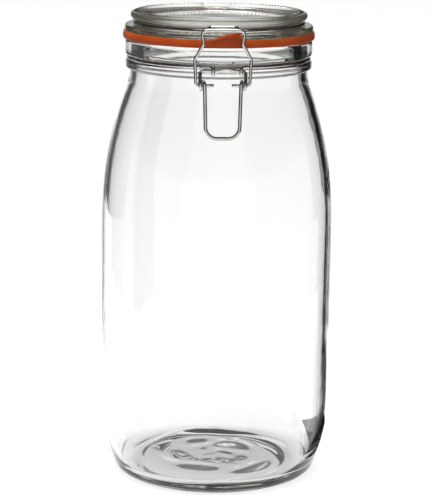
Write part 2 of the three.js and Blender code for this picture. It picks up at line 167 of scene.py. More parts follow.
# Seal
SEAL_INNER = 44.9 * MM
SEAL_OUTER = high("seal").x
SEAL_BOTTOM = 266.6 * MM
SEAL_TOP = 270.0 * MM
SEAL_FLAT_EDGE = 54.3 * MM
SEAL_STEP_EDGE = 55.5 * MM
SEAL_LIP_INNER = 56.1 * MM
SEAL_LIP_CROWN = 56.4 * MM
SEAL_LIP_RADIUS = 56.9 * MM
SEAL_ROUNDING = 0.45 * MM
TAB_LEFT = -7 * MM
TAB_RIGHT = 11 * MM
TAB_LEFT_START = TAB_LEFT - 0.8 * MM
TAB_LEFT_END = TAB_LEFT + 1.8 * MM
TAB_RIGHT_START = TAB_RIGHT - 1.3 * MM
TAB_RIGHT_END = TAB_RIGHT + 0.1 * MM
TAB_PEAK = TAB_RIGHT - 2 * MM
TAB_RISE_POWER = 2.1
TAB_BOTTOM = 266.4 * MM
TAB_TOP_LEFT = 270.9 * MM
TAB_TOP_RIGHT = high("seal").z
TAB_FRONT_RADIUS = -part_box("seal")[0].y
TAB_BACK_RADIUS = 57.2 * MM
TAB_CREST_RADIUS = 58.1 * MM
TAB_UNDER_RADIUS = 59.0 * MM
TAB_BEVEL = 0.8 * MM
TAB_BEVEL_GROWTH = 1.4 * MM

# Wires: heights and places of their centre lines, and the bending radius of each corner
WIRE_RADIUS = 1.1 * MM
BAIL_WIRE_RADIUS = 0.95 * MM
CUT_END_ROUNDING = 0.25
NECK_WIRE_RADIUS = 54.1 * MM
NECK_WIRE_HEIGHT = 254.9 * MM
NECK_HOOK_BEND = 2 * MM
HOOK_LEFT = -5.6 * MM
HOOK_RIGHT = 10.4 * MM
HOOK_BACK = -57.4 * MM
HOOK_TIP_HEIGHT = 250.8 * MM
HOOK_RADIUS = 2.6 * MM
HINGE_BACK = 60.6 * MM
HINGE_HEIGHT = 266 * MM
HINGE_HALF_WIDTH = 13 * MM
HINGE_BEND = 2.5 * MM
HINGE_EYE_OFFSET = 8.5 * MM
HINGE_EYE_TURN = math.radians(220)
LID_WIRE_RADIUS = 50.7 * MM
LID_WIRE_HEIGHT = 276 * MM
LID_WIRE_BEND = 2.5 * MM
CATCH_FRONT = -60.2 * MM
CATCH_HEIGHT = 278.3 * MM
CATCH_HALF_WIDTH = 8.1 * MM
CATCH_BEND = 2.2 * MM
LEVER_PIVOT = Vector((0, -58.7, 253.4)) * MM
EYE = Vector((0, -60.4, 245.4)) * MM
EYE_RADIUS = 2.25 * MM
EYE_PITCH = 2.5 * MM
LEVER_TOP_HALF_WIDTH = 13 * MM
LEVER_TOP_BEND = 2 * MM
LEVER_BOTTOM_HALF_WIDTH = 9.6 * MM
LEVER_BOTTOM_BEND = 6.5 * MM
LEVER_BOTTOM = Vector((0, -65.4, 215.6)) * MM
LEVER_ARCH = 1.0 * MM
LEVER_ARCH_MARGIN = 2 * MM
LEVER_ARCH_HALF_STEPS = 10
BAIL_TOP = Vector((12.4, -62.3, 276.8)) * MM
BAIL_TOP_BEND = 2.4 * MM
BAIL_WAIST = Vector((11.1, -61.7, 269.4)) * MM
BAIL_FLARE = Vector((16.1, -61.2, 260.2)) * MM
BAIL_BEND = 3 * MM
BAIL_FOOT_HALF_WIDTH = 15.3 * MM
BAIL_FOOT_BEND = 1.6 * MM
BAIL_STUB_END = 5.1 * MM

# How finely the surfaces are made
TURNED_SIDES = 240
OUTLINE_STEP = 2.2 * MM
FEWEST_CURVE_STEPS = 7
FLAT_HOLD = 0.35 * MM
WIRE_SIDES = 20
BEND_STEP = math.radians(6)
FEWEST_BEND_STEPS = 3
RING_STEP = math.radians(2)
SEAL_STEP = math.radians(1.5)
TAB_STEP = math.radians(0.25)
TAB_HALF_ANGLE = math.radians(16)

# The camera, which looks at the clamp from a little to its left and from above the lid
LENS = 146.1
CAMERA_DISTANCE = 1.198
CAMERA_HEIGHT = 0.399
CAMERA_AZIMUTH = math.radians(-2.4)
CAMERA_PITCH = math.radians(12.355)
CAMERA_ROLL = math.radians(0.694)
CAMERA_SHIFT = (0.0024, 0.0042)

# The floor, the light, and the cards that steel and glass reflect. The first list's cards also show
# through the glass. A card is (name, shade, lower corner, upper corner, how far its upper edge is
# set back).
FLOOR_REACH = 6.0
FLOOR_SIDES = 64
FLOOR_GAP = 0.2 * MM
CARD_SHADES = {"black": 0.01, "dim": 0.05, "grey": 0.08, "light_grey": 0.8, "white": 1.0}
CARDS_IN_GLASS = [
    ("near_card", "black", (0.115, 0.0, 0.0), (0.115, 0.08, 0.5), 0.0),
    # The heel card below is a black sheet flat on the floor beside the heel, seen only in the
    # glass: a painted shadow where the jar's shade falls.
    ("heel_shadow_card", "black", (0.072, -0.025, 0.001), (0.12, -0.025, 0.001), 0.105),
    ("far_left", "grey", (-1.0, 0.3, 0.0), (-0.4, 1.0, 0.9), 0.0),
    ("far_right", "black", (1.0, 0.3, 0.0), (0.4, 1.0, 0.9), 0.0),
]
REFLECTED_CARDS = [
    ("left_wing", "dim", (-0.5, -0.7, 0.0), (-0.5, 0.35, 0.7), 0.0),
    ("right_wing", "dim", (0.5, -0.7, 0.0), (0.5, 0.35, 0.7), 0.0),
    ("front_card", "light_grey", (-0.42, -0.75, 0.0), (0.42, -0.75, 0.75), 0.0),
    ("back_card", "white", (-0.35, 1.5, 0.5), (0.35, 1.5, 0.75), 0.0),
]
SOFTBOX_AIM = Vector((0, 0, 0.2))
WORLD_STRENGTH = 1.02
WORLD_SHADES = [(0.07, 1.0), (0.13, 0.20), (0.3, 0.05), (0.6, 0.05)]


# ---- Camera, floor and light --------------------------------------------------------------------

def make_camera():
    data = bpy.data.cameras.new("camera")
    data.lens = LENS
    data.shift_x, data.shift_y = CAMERA_SHIFT
    camera = bpy.data.objects.new("camera", data)
    level = Matrix.Rotation(math.pi / 2, 4, "X")
    turn = Matrix.Rotation(CAMERA_AZIMUTH, 4, "Z")
    tilt = Matrix.Rotation(-CAMERA_PITCH, 4, "X")
    roll = Matrix.Rotation(CAMERA_ROLL, 4, "Z")
    place = turn @ Vector((0, -CAMERA_DISTANCE, CAMERA_HEIGHT))
    camera.matrix_world = Matrix.Translation(place) @ turn @ level @ tilt @ roll
    bpy.context.scene.collection.objects.link(camera)
    bpy.context.scene.camera = camera


def link_mesh(name, mesh):
    piece = bpy.data.objects.new(name, mesh)
    bpy.context.scene.collection.objects.link(piece)
    return piece


def make_floor(material):
    turns = [TAU * side / FLOOR_SIDES for side in range(FLOOR_SIDES)]
    rim = [(FLOOR_REACH * math.cos(turn), FLOOR_REACH * math.sin(turn), 0) for turn in turns]
    mesh = bpy.data.meshes.new("floor")
    mesh.from_pydata(rim, [], [range(FLOOR_SIDES)])
    mesh.materials.append(material)
    floor = link_mesh("floor", mesh)
    floor.location.z = -FLOOR_GAP


def make_card(name, material, corner_low, corner_high, depth, through):
    """A card between two corners, its upper edge set back by `depth`. The camera doesn't see it:
    steel and glass reflect it, and if it shows `through` glass, that bends light from it too."""
    (x0, y0, z0), (x1, y1, z1) = corner_low, corner_high
    corners = [(x0, y0, z0), (x1, y1, z0), (x1, y1 + depth, z1), (x0, y0 + depth, z1)]
    mesh = bpy.data.meshes.new(name)
    mesh.from_pydata(corners, [], [range(4)])
    mesh.materials.append(material)
    card = link_mesh(name, mesh)
    card.visible_camera = False
    card.visible_diffuse = False
    card.visible_shadow = False
    card.visible_transmission = through


def make_cards():
    materials = {name: card_material(name + "_card", shade) for name, shade in CARD_SHADES.items()}
    for cards, through in [(CARDS_IN_GLASS, True), (REFLECTED_CARDS, False)]:
        for name, shade, corner_low, corner_high, depth in cards:
            make_card(name, materials[shade], corner_low, corner_high, depth, through)


def make_softbox(name, place, size, power, reflected=False):
    data = bpy.data.lights.new(name, "AREA")
    data.shape = "RECTANGLE"
    data.size, data.size_y = size
    data.energy = power
    light = bpy.data.objects.new(name, data)
    light.location = place
    aim = SOFTBOX_AIM - light.location
    light.rotation_euler = aim.to_track_quat("-Z", "Y").to_euler()
    light.visible_glossy = reflected
    light.visible_transmission = False
    bpy.context.scene.collection.objects.link(light)


def make_world():
    """A studio that is white up to the horizon, and a dark room above it."""
    world = bpy.data.worlds.new("studio")
    world.use_nodes = True
    tree = Tree(world.node_tree)
    direction = tree.node("ShaderNodeTexCoord").outputs["Generated"]
    shade = tree.ramp(tree.separate(direction)["Z"], WORLD_SHADES)
    tree.node("ShaderNodeBackground", into=tree.output("ShaderNodeOutputWorld").inputs["Surface"],
              Color=shade.outputs["Color"], Strength=WORLD_STRENGTH)
    bpy.context.scene.world = world


# ---- Materials ----------------------------------------------------------------------------------

class Tree:
    """Short ways to add nodes to a node tree."""

    def __init__(self, node_tree):
        self.tree = node_tree
        self.tree.nodes.clear()

    def output(self, kind="ShaderNodeOutputMaterial"):
        return self.tree.nodes.new(kind)

    def set(self, socket, value):
        if isinstance(value, bpy.types.NodeSocket):
            self.tree.links.new(value, socket)
        else:
            socket.default_value = value

    def node(self, kind, into=None, **values):
        made = self.tree.nodes.new(kind)
        for name, value in values.items():
            self.set(made.inputs[name.replace("_", " ")], value)
        if into:
            self.tree.links.new(made.outputs[0], into)
        return made

    def noise(self, place, scale, detail=3.0, roughness=0.5):
        made = self.node("ShaderNodeTexNoise", Vector=place, Scale=scale, Detail=detail,
                         Roughness=roughness)
        return made.outputs["Fac"]

    def ramp(self, factor, stops):
        """A colour ramp through (position, colour or grey) stops."""
        made = self.node("ShaderNodeValToRGB", Fac=factor)
        elements = made.color_ramp.elements
        while len(elements) < len(stops):
            elements.new(0.5)
        for element, (position, shade) in zip(elements, stops):
            element.position = position
            element.color = (*shade, 1) if isinstance(shade, tuple) else (shade, shade, shade, 1)
        return made

    def blend(self, kind, first, second):
        made = self.tree.nodes.new("ShaderNodeMixRGB")
        made.blend_type = kind
        made.inputs["Fac"].default_value = 1.0
        self.set(made.inputs["Color1"], first)
        self.set(made.inputs["Color2"], second)
        return made

    def separate(self, place):
        return self.node("ShaderNodeSeparateXYZ", Vector=place).outputs

    def maths(self, operation, *values):
        made = self.tree.nodes.new("ShaderNodeMath")
        made.operation = operation
        for socket, value in zip(made.inputs, values):
            self.set(socket, value)
        return made.outputs["Value"]

    def scaled(self, place, scale):
        made = self.node("ShaderNodeMapping", Vector=place)
        made.inputs["Scale"].default_value = scale
        return made.outputs["Vector"]

    def bump(self, height, distance):
        made = self.node("ShaderNodeBump", Height=height, Distance=distance, Strength=1.0)
        return made.outputs["Normal"]

    def object_place(self):
        return self.node("ShaderNodeTexCoord").outputs["Object"]

    def principled(self, out, colour, roughness, **values):
        self.node("ShaderNodeBsdfPrincipled", into=out.inputs["Surface"],
                  Base_Color=colour.outputs["Color"], Roughness=roughness, **values)


def new_material(name):
    material = bpy.data.materials.new(name)
    material.use_nodes = True
    return material, Tree(material.node_tree)


def crest_zones(tree, place):
    """Two masks on the lid's crest, from its radius and height: its notched inner edge, where a
    dark shade is painted on, and the matt outer wall below that."""
    axes = tree.separate(place)
    squares = [tree.maths("POWER", axes[axis], 2.0) for axis in "XY"]
    radius = tree.maths("SQRT", tree.maths("ADD", *squares))
    near_edge = tree.maths("COMPARE", radius, KNURL_RADIUS, KNURL_HALF_WIDTH)
    above = tree.maths("GREATER_THAN", axes["Z"], LID_TOP - KNURL_ZONE)
    middle, half_height = (LID_TOP + LID_BEAD_BOTTOM) / 2, (LID_TOP - LID_BEAD_BOTTOM) / 2
    beside = tree.maths("COMPARE", axes["Z"], middle, half_height)
    outside = tree.maths("GREATER_THAN", radius, LID_CREST_OUTER - MATT_WALL_ZONE)
    return tree.maths("MULTIPLY", near_edge, above), tree.maths("MULTIPLY", beside, outside)


def glass_material(name, clear, cloudy, tint, density, crested=False):
    """Moulded glass: slow ripples from the mould, fine handling marks, and a tint that grows with
    depth. On a crested piece a dark shade is painted on the notched edge, and that and the wall
    below it are matt."""
    painted_edge_shade, matt_roughness = (0.004, 0.003, 0.001), 0.32
    material, tree = new_material(name)
    out = tree.output()
    place = tree.object_place()
    ripples = tree.noise(place, scale=38.0, detail=2.0)
    marks = tree.noise(place, scale=900.0, detail=4.0, roughness=0.6)
    smears = tree.noise(tree.scaled(place, (22.0, 22.0, 9.0)), scale=1.0)
    colour = tree.ramp(smears, [(0.35, clear), (0.75, cloudy)])
    rough = tree.ramp(marks, [(0.55, 0.0), (0.8, 0.03)])
    if crested:
        edge, wall = crest_zones(tree, place)
        # Painted shade: the glass of the notched edge is coloured near black, for the dark line it
        # shows.
        shade = tree.ramp(edge, [(0.0, 1.0), (1.0, painted_edge_shade)])
        colour = tree.blend("MULTIPLY", colour.outputs["Color"], shade.outputs["Color"])
        matt = tree.ramp(tree.maths("MAXIMUM", edge, wall), [(0.0, 0.0), (1.0, matt_roughness)])
        rough = tree.blend("ADD", rough.outputs["Color"], matt.outputs["Color"])
    tree.principled(out, colour, rough.outputs["Color"], Normal=tree.bump(ripples, 0.12 * MM),
                    IOR=1.5, Transmission_Weight=1.0)
    tree.node("ShaderNodeVolumeAbsorption", into=out.inputs["Volume"],
              Color=(*tint, 1), Density=density)
    return material


def rubber_material():
    """Orange rubber, faded where it was handled, with a fine moulded grain."""
    deep, faded = (0.26, 0.033, 0.004), (0.34, 0.055, 0.008)
    material, tree = new_material("seal_rubber")
    out = tree.output()
    place = tree.object_place()
    fade = tree.noise(place, scale=70.0, detail=4.0)
    grain = tree.noise(place, scale=2600.0, roughness=0.6)
    colour = tree.ramp(fade, [(0.3, deep), (0.7, faded)])
    rough = tree.ramp(grain, [(0.3, 0.36), (0.7, 0.52)])
    tree.principled(out, colour, rough.outputs["Color"], Normal=tree.bump(grain, 0.02 * MM),
                    IOR=1.5, Specular_IOR_Level=0.15)
    return material


def steel_material(name):
    """Bright drawn wire: fine lines along its length, and dull patches where it was handled."""
    dull, bright = (0.52, 0.52, 0.50), (0.68, 0.68, 0.66)
    material, tree = new_material(name)
    out = tree.output()
    along = tree.node("ShaderNodeUVMap").outputs["UV"]
    lines = tree.noise(tree.scaled(along, (60.0, 9.0, 1.0)), scale=1.0, detail=4.0, roughness=0.6)
    patches = tree.noise(tree.object_place(), scale=160.0)
    colour = tree.ramp(patches, [(0.3, dull), (0.62, bright)])
    rough = tree.ramp(lines, [(0.3, 0.09), (0.75, 0.2)])
    tree.principled(out, colour, rough.outputs["Color"], Normal=tree.bump(lines, 0.012 * MM),
                    Metallic=1.0)
    return material


def floor_material():
    """A pale floor that glows evenly, with a painted shadow: its glow is turned down in a circle
    right under the jar.
    """
    material, tree = new_material("pale_floor")
    out = tree.output()
    place = tree.object_place()
    grain = tree.noise(place, scale=30.0, detail=4.0)
    colour = tree.ramp(grain, [(0.3, 0.10), (0.7, 0.12)])
    away = tree.tree.nodes.new("ShaderNodeVectorMath")
    away.operation = "LENGTH"
    tree.set(away.inputs[0], place)
    # Painted shadow: the floor's glow is lower in a circle under the jar, where the jar's shade
    # falls.
    glow_with_painted_shadow = tree.ramp(away.outputs["Value"], [(0.0, 0.72), (0.05, 0.76), (0.066, 1.0)])
    tree.principled(out, colour, 0.9, Emission_Color=glow_with_painted_shadow.outputs["Color"], Emission_Strength=0.97)
    return material


def card_material(name, shade):
    material, tree = new_material(name)
    out = tree.output()
    nap = tree.noise(tree.object_place(), scale=12.0, detail=2.0)
    colour = tree.ramp(nap, [(0.3, shade * 0.9), (0.7, shade)])
    tree.node("ShaderNodeEmission", into=out.inputs["Surface"], Color=colour.outputs["Color"])
    return material


# ---- Turned pieces ------------------------------------------------------------------------------

def even_steps(length, fewest):
    return max(fewest, round(length / OUTLINE_STEP))


class Outline:
    """A turned piece's outline of (radius, height) points, laid down one stretch after another."""

    def __init__(self, radius, height):
        self.points = [Vector((radius, height))]

    def line(self, radius, height):
        """A straight, with a point close to each of its ends so that it stays flat between them."""
        start, end = self.points[-1], Vector((radius, height))
        length = (end - start).length
        hold = min(FLAT_HOLD, length / 3)
        steps = even_steps(length, 1)
        shares = [hold / length, *(i / steps for i in range(1, steps)), 1 - hold / length, 1]
        self.points += [start.lerp(end, share) for share in sorted(shares)]

    def curve(self, *controls):
        """A Bezier stretch with one or two control points before its end, each (radius, height)."""
        poles = [self.points[-1], *(Vector(c) for c in controls)]
        length = sum((b - a).length for a, b in zip(poles, poles[1:]))
        steps = even_steps(length, FEWEST_CURVE_STEPS)
        for i in range(1, steps + 1):
            reduced = poles
            while len(reduced) > 1:
                reduced = [a.lerp(b, i / steps) for a, b in zip(reduced, reduced[1:])]
            self.points.append(reduced[0])


def turned_mesh(name, outline, sides, shaped=None):
    """Turns an outline round the Z axis; `shaped` may move each point by its angle."""
    vertices, rings = [], []
    for index, point in enumerate(outline):
        on_axis = point.x < 1e-9
        ring = []
        for side in range(1 if on_axis else sides):
            angle = TAU * side / sides
            radius, height = shaped(index, point, angle) if shaped else point
            ring.append(len(vertices))
            vertices.append((radius * math.cos(angle), radius * math.sin(angle), height))
        rings.append(ring * sides if on_axis else ring)
    faces = []
    for low, top in zip(rings, rings[1:]):
        for side in range(sides):
            after = (side + 1) % sides
            face = [low[side], low[after], top[after], top[side]]
            faces.append(list(dict.fromkeys(face)))
    mesh = bpy.data.meshes.new(name)
    mesh.from_pydata(vertices, [], faces)
    mesh.shade_smooth()
    return mesh


def waves(angle, height, terms):
    """A gentle unevenness: the mean of a few waves, each (turns round, rise, phase)."""
    total = sum(math.sin(turns * angle + rise * height + phase) for turns, rise, phase in terms)
    return total / len(terms)


def jar_outline():
    path = Outline(0, PUNT_HEIGHT)
    path.line(PUNT_RADIUS, PUNT_EDGE_HEIGHT)
    path.curve(PUNT_POLE, (STAND_RING_INNER, 0))
    path.line(STAND_RING_OUTER, 0)
    path.curve(FOOT_POLE, (FOOT_RADIUS, FOOT_HEIGHT))
    path.curve(*HEEL_POLES, (BODY_RADIUS, HEEL_TOP))
    path.line(BODY_RADIUS, SHOULDER_BOTTOM)
    path.curve(*SHOULDER_POLES, (SHOULDER_TOP_RADIUS, SHOULDER_TOP))
    path.curve((NECK_RADIUS, NECK_POLE_HEIGHT), (NECK_RADIUS, NECK_BOTTOM))
    path.line(NECK_RADIUS, NECK_BEAD_BOTTOM)

    # Neck bead, the groove that holds the neck wire, and the rim
    path.curve((NECK_BEAD_RADIUS, NECK_BEAD_POLE_HEIGHT), (NECK_BEAD_RADIUS, NECK_BEAD_FOOT))
    inward, down = NECK_BEAD_ROUNDING
    path.line(NECK_BEAD_RADIUS, NECK_BEAD_TOP - down)
    path.curve((NECK_BEAD_RADIUS, NECK_BEAD_TOP), (NECK_BEAD_RADIUS - inward, NECK_BEAD_TOP))
    path.line(NECK_GROOVE_RADIUS, NECK_BEAD_TOP + NECK_GROOVE_DRAFT)
    path.line(NECK_GROOVE_RADIUS, RIM_BOTTOM - NECK_GROOVE_DRAFT)
    inward, up = RIM_LOWER_ROUNDING
    path.line(RIM_RADIUS - inward, RIM_BOTTOM)
    path.curve((RIM_RADIUS, RIM_BOTTOM), (RIM_RADIUS, RIM_BOTTOM + up))
    path.line(RIM_RADIUS, RIM_TOP - RIM_UPPER_ROUNDING)
    path.curve((RIM_RADIUS, RIM_TOP), (RIM_LAND_OUTER, RIM_TOP))
    path.line(RIM_LAND_INNER, RIM_TOP)

    # Mouth and inside
    outside_points = len(path.points)
    path.curve((MOUTH_RADIUS, RIM_TOP), (MOUTH_RADIUS, RIM_TOP - MOUTH_ROUNDING))
    path.line(MOUTH_RADIUS, MOUTH_BOTTOM)
    path.curve(*NECK_INNER_POLES, (NECK_INNER_RADIUS, NECK_INNER_TOP))
    path.line(NECK_INNER_RADIUS, NECK_BOTTOM)
    path.curve(INNER_SHOULDER_TOP_POLE, INNER_SHOULDER_TOP)
    path.curve(*INNER_SHOULDER_POLES, (INSIDE_RADIUS, SHOULDER_BOTTOM))
    path.line(INSIDE_RADIUS, HEEL_TOP)
    path.curve(*INNER_HEEL_POLES, INNER_HEEL_FOOT)
    path.curve(FLOOR_EDGE_POLE, (FLOOR_RADIUS, FLOOR_HEIGHT))
    path.curve(FLOOR_POLE, (0, FLOOR_HEIGHT + FLOOR_CROWN))
    return path.points, outside_points


def jar_mesh():
    """The jar, blown against its mould: its outside is true, and its inside is a little uneven."""
    points, outside_points = jar_outline()

    def shaped(index, point, angle):
        radius, height = point
        if index < outside_points or height > SHOULDER_TOP:
            return radius, height
        up = min(1, max(0, (height - FLOOR_HEIGHT) / HEEL_TOP))
        wall_share = up * min(1, (SHOULDER_TOP - height) / WALL_FADE)
        floor_share = (1 - up) * min(1, radius / FLOOR_FADE)
        wall = WALL_UNEVENNESS * wall_share * waves(angle, height, WALL_WAVES)
        floor = FLOOR_UNEVENNESS * floor_share * waves(angle, radius, FLOOR_WAVES)
        return radius + wall, height + floor

    return turned_mesh("jar_glass", points, TURNED_SIDES, shaped)


def lid_outline():
    path = Outline(0, HOLLOW_TOP)
    path.line(*HOLLOW_FLAT_EDGE)
    path.curve(HOLLOW_POLE, (HOLLOW_RADIUS, HOLLOW_SIDE_TOP))
    path.line(PLUG_INNER_EDGE, PLUG_BOTTOM + PLUG_ROUNDING)
    path.curve((PLUG_INNER_POLE, PLUG_BOTTOM), (PLUG_BOTTOM_INNER, PLUG_BOTTOM))
    path.line(PLUG_RADIUS - PLUG_ROUNDING, PLUG_BOTTOM)
    path.curve((PLUG_RADIUS, PLUG_BOTTOM), (PLUG_RADIUS, PLUG_BOTTOM + PLUG_ROUNDING))

    # Flange
    outward, down = UNDERSIDE_FILLET
    path.line(PLUG_RADIUS, LID_UNDERSIDE - down)
    path.curve((PLUG_RADIUS, LID_UNDERSIDE), (PLUG_RADIUS + outward, LID_UNDERSIDE))
    inward, up = FLANGE_LOWER_ROUNDING
    path.line(FLANGE_RADIUS - inward, LID_UNDERSIDE)
    path.curve((FLANGE_RADIUS, LID_UNDERSIDE), (FLANGE_RADIUS, LID_UNDERSIDE + up))
    inward, down = FLANGE_UPPER_ROUNDING
    path.line(FLANGE_RADIUS, FLANGE_TOP - down)
    path.curve((FLANGE_RADIUS, FLANGE_TOP), (FLANGE_RADIUS - inward, FLANGE_TOP))

    # The groove that holds the lid wire, the bead above it, the crest and the dish
    outward, up = LID_GROOVE_FILLET
    path.line(LID_GROOVE_RADIUS + outward, FLANGE_TOP)
    path.curve((LID_GROOVE_RADIUS, FLANGE_TOP), (LID_GROOVE_RADIUS, FLANGE_TOP + up))
    path.line(LID_GROOVE_RADIUS, LID_BEAD_BOTTOM - LID_BEAD_FILLET)
    path.curve((LID_GROOVE_RADIUS, LID_BEAD_BOTTOM),
               (LID_GROOVE_RADIUS + LID_BEAD_FILLET, LID_BEAD_BOTTOM))
    path.curve((LID_BEAD_RADIUS, LID_BEAD_BOTTOM + LID_BEAD_POLE_RISE),
               (LID_BEAD_RADIUS, LID_TOP - LID_BEAD_SHOULDER))
    crest_from = len(path.points)
    path.curve((LID_BEAD_RADIUS, LID_TOP), (LID_CREST_OUTER, LID_TOP))
    path.line(LID_CREST_INNER, LID_TOP)
    path.curve(*DISH_POLES, (DISH_RADIUS, DISH_EDGE_HEIGHT))
    path.line(0, DISH_HEIGHT)
    return path.points, crest_from


def lid_mesh():
    """The pressed lid: its crest rises to a notched inner edge, with fine ribs down its inside."""
    points, crest_from = lid_outline()

    def shaped(index, point, angle):
        radius, height = point
        if index < crest_from:
            return radius, height
        tooth = abs((angle * KNURL_TEETH / TAU) % 1 - 0.5) * 2
        inward = 1 - smooth_step(LID_CREST_INNER, LID_CREST_OUTER, radius)
        on_top = smooth_step(DISH_EDGE_HEIGHT, LID_TOP, height)
        drop = CREST_SLOPE * (1 - inward) + KNURL_DEPTH * tooth * inward
        rib = RIB_DEPTH * tooth * smooth_step(DISH_EDGE_HEIGHT, RIB_FOOT, height) * inward
        return radius - rib, height - drop * on_top

    return turned_mesh("lid_glass", points, KNURL_TEETH * KNURL_SIDES_PER_TOOTH, shaped)


# ---- Rubber seal --------------------------------------------------------------------------------

def smooth_step(low, top, value):
    share = min(1, max(0, (value - low) / (top - low)))
    return share * share * (3 - 2 * share)


def rounded_loop(corners, radius, steps=4):
    """A closed outline with each of its corners rounded, by no more than its sides allow."""
    most = 0.45
    points = []
    befores, afters = corners[-1:] + corners[:-1], corners[1:] + corners[:1]
    for before, point, after in zip(befores, corners, afters):
        back, ahead = before - point, after - point
        reach = min(radius, back.length * most, ahead.length * most)
        start, end = point + back.normalized() * reach, point + ahead.normalized() * reach
        for i in range(steps + 1):
            share = i / steps
            points.append(start.lerp(point, share).lerp(point.lerp(end, share), share))
    return points


def seal_section(tab, top, bevel):
    """The seal's section where its tab is out by `tab`, from 0 to 1, up to `top` behind a bevel."""
    plain = [
        (SEAL_INNER, SEAL_BOTTOM),
        (SEAL_FLAT_EDGE, SEAL_BOTTOM),
        (SEAL_LIP_INNER, SEAL_BOTTOM - 0.6 * MM),
        (SEAL_LIP_RADIUS, SEAL_BOTTOM - 0.3 * MM),
        (SEAL_OUTER, SEAL_BOTTOM + 0.8 * MM),
        (SEAL_OUTER, SEAL_TOP - 1.3 * MM),
        (SEAL_LIP_RADIUS - 0.1 * MM, SEAL_TOP + 0.6 * MM),
        (SEAL_LIP_CROWN, SEAL_TOP + 0.9 * MM),
        (SEAL_LIP_INNER, SEAL_TOP + 0.5 * MM),
        (SEAL_STEP_EDGE, SEAL_TOP + 0.1 * MM),
        (SEAL_INNER, SEAL_TOP),
    ]
    out = [
        (SEAL_INNER, SEAL_BOTTOM),
        (SEAL_FLAT_EDGE, SEAL_BOTTOM),
        (SEAL_LIP_INNER, TAB_BOTTOM),
        (TAB_UNDER_RADIUS, TAB_BOTTOM),
        (TAB_FRONT_RADIUS, TAB_BOTTOM + 0.8 * MM),
        (TAB_FRONT_RADIUS, top - bevel),
        (TAB_CREST_RADIUS, top),
        (TAB_BACK_RADIUS, top),
        (TAB_BACK_RADIUS, SEAL_TOP + 0.8 * MM),
        (SEAL_STEP_EDGE, SEAL_TOP + 0.1 * MM),
        (SEAL_INNER, SEAL_TOP),
    ]
    corners = [Vector(a).lerp(Vector(b), tab) for a, b in zip(plain, out)]
    return rounded_loop(corners, SEAL_ROUNDING)


def seal_mesh():
    """One swept section all the way round, drawn out into the pull tab beside the clamp."""
    tab_steps = round(2 * TAB_HALF_ANGLE / TAB_STEP)
    angles = [-TAB_HALF_ANGLE + step * TAB_STEP for step in range(tab_steps)]
    plain_angle = TAU - 2 * TAB_HALF_ANGLE
    plain_steps = round(plain_angle / SEAL_STEP)
    angles += [TAB_HALF_ANGLE + step * plain_angle / plain_steps for step in range(plain_steps)]
    vertices, faces = [], []
    for angle in angles:
        x = SEAL_OUTER * math.sin(angle) if math.cos(angle) > 0 else math.inf
        tab = smooth_step(TAB_LEFT_START, TAB_LEFT_END, x)
        tab *= 1 - smooth_step(TAB_RIGHT_START, TAB_RIGHT_END, x)
        along = min(1, max(0, (x - TAB_LEFT) / (TAB_PEAK - TAB_LEFT)))
        rise = 1 - (1 - along) ** TAB_RISE_POWER
        top = TAB_TOP_LEFT + (TAB_TOP_RIGHT - TAB_TOP_LEFT) * rise
        section = seal_section(tab, top, TAB_BEVEL + TAB_BEVEL_GROWTH * rise)
        vertices += [(p.x * math.sin(angle), -p.x * math.cos(angle), p.y) for p in section]
    count = len(section)
    for turn in range(len(angles)):
        here, there = turn * count, (turn + 1) % len(angles) * count
        for i in range(count):
            after = (i + 1) % count
            faces.append((here + i, there + i, there + after, here + after))
    mesh = bpy.data.meshes.new("seal_rubber")
    mesh.from_pydata(vertices, [], faces)
    mesh.shade_smooth()
    return mesh


# ---- Bent wires ---------------------------------------------------------------------------------

def corner(x, y, z, radius=0.0):
    return Vector((x, y, z)), radius


def mirrored(corners):
    return [(Vector((-point.x, point.y, point.z)), radius) for point, radius in reversed(corners)]


def bent(corners):
    """Stations along a line of corners, with an arc at each corner that has a bending radius."""
    stations = []
    for index, (point, radius) in enumerate(corners):
        if not radius:
            stations.append(point)
            continue
        back = (corners[index - 1][0] - point).normalized()
        ahead = (corners[(index + 1) % len(corners)][0] - point).normalized()
        turn = math.pi - back.angle(ahead)
        setback = radius * math.tan(turn / 2)
        centre = point + (back + ahead).normalized() * radius / math.cos(turn / 2)
        first, final = point + back * setback - centre, point + ahead * setback - centre
        steps = max(FEWEST_BEND_STEPS, math.ceil(turn / BEND_STEP))
        for step in range(steps + 1):
            share = step / steps
            stations.append(centre + first * (math.sin((1 - share) * turn) / math.sin(turn))
                            + final * (math.sin(share * turn) / math.sin(turn)))
    return stations


def ring_corners(radius, height, from_angle, to_angle):
    """Corners on a level ring, between two angles measured from the front towards +X."""
    steps = round(abs(to_angle - from_angle) / RING_STEP)
    angles = [from_angle + (to_angle - from_angle) * step / steps for step in range(1, steps)]
    return [corner(radius * math.sin(a), -radius * math.cos(a), height) for a in angles]


def wire_sections(stations, radius, closed):
    """Where the wire's sections stand: (place, direction, radius), with bevelled cut ends."""
    last = len(stations) - 1
    sections = []
    for i in range(last + 1):
        before = stations[i - 1] if i or closed else stations[0]
        after = stations[(i + 1) % (last + 1)] if i < last or closed else stations[last]
        sections.append((stations[i], (after - before).normalized(), radius))
    if not closed:
        edge = radius * CUT_END_ROUNDING
        (start, ahead, _), (end, along, _) = sections[0], sections[-1]
        sections[0] = (start + ahead * edge, ahead, radius)
        sections[-1] = (end - along * edge, along, radius)
        sections = [(start, ahead, radius - edge), *sections, (end, along, radius - edge)]
    return sections


